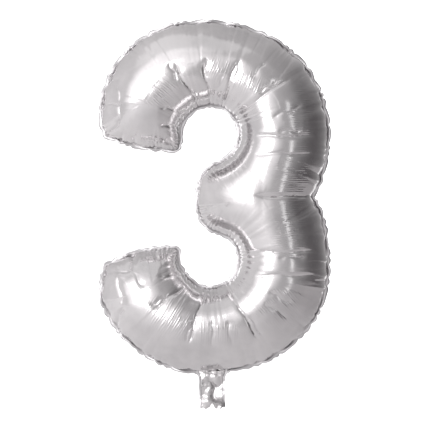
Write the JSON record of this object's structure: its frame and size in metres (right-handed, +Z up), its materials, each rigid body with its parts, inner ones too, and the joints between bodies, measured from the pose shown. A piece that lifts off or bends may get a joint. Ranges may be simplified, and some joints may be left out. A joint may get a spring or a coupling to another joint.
{
  "type": "foil number balloon",
  "caption": "Inflated silver foil balloon in the shape of a digit three, with a welded rim, a flat filling tail that folds and a self-sealing film valve in its neck.",
  "frame": {"origin": "middle of the neck's lower end, where the ribbon is tied, between the two foil panels", "axes": "+X to the reader's right, +Y from the front panel to the back panel, +Z up through the digit"},
  "size_m": [0.4539, 0.166, 0.7599],
  "materials": {
    "foil": "bright silver metallised film, drawn tight, with fine puckers",
    "welded_foil": "silver film, two layers welded flat, crinkled along the rim",
    "valve_film": "clear thin film"
  },
  "bodies": {
    "balloon": {"front_panel": "foil", "back_panel": "foil", "edge_seam": "welded_foil", "valve_front_anchor": "valve_film", "valve_back_anchor": "valve_film"},
    "tail": {"tail_front_film": "foil", "tail_back_film": "foil", "tail_side_welds": "welded_foil", "valve_front_inlet": "valve_film", "valve_back_inlet": "valve_film"},
    "front_flap": {"valve_front_flap": "valve_film"},
    "back_flap": {"valve_back_flap": "valve_film"}
  },
  "joints": [
    {"name": "tail_fold", "type": "hinge", "parent": "balloon", "child": "tail", "pos_m": [0, 0, -0.002], "axis": [1, 0, 0], "range_deg": [-110, 110]},
    {"name": "valve_front_open", "type": "hinge", "parent": "balloon", "child": "front_flap", "pos_m": [0, -0.0002, 0.0201], "axis": [1, 0, 0], "range_deg": [0, 12], "stiffness_Nm_per_rad": 0.0002},
    {"name": "valve_back_open", "type": "hinge", "parent": "balloon", "child": "back_flap", "pos_m": [0, 0.0002, 0.0201], "axis": [1, 0, 0], "range_deg": [-12, 0], "stiffness_Nm_per_rad": 0.0002}
  ],
  "couplings": [
    {"joint": "valve_back_open", "follows": "valve_front_open", "ratio": -1}
  ]
}
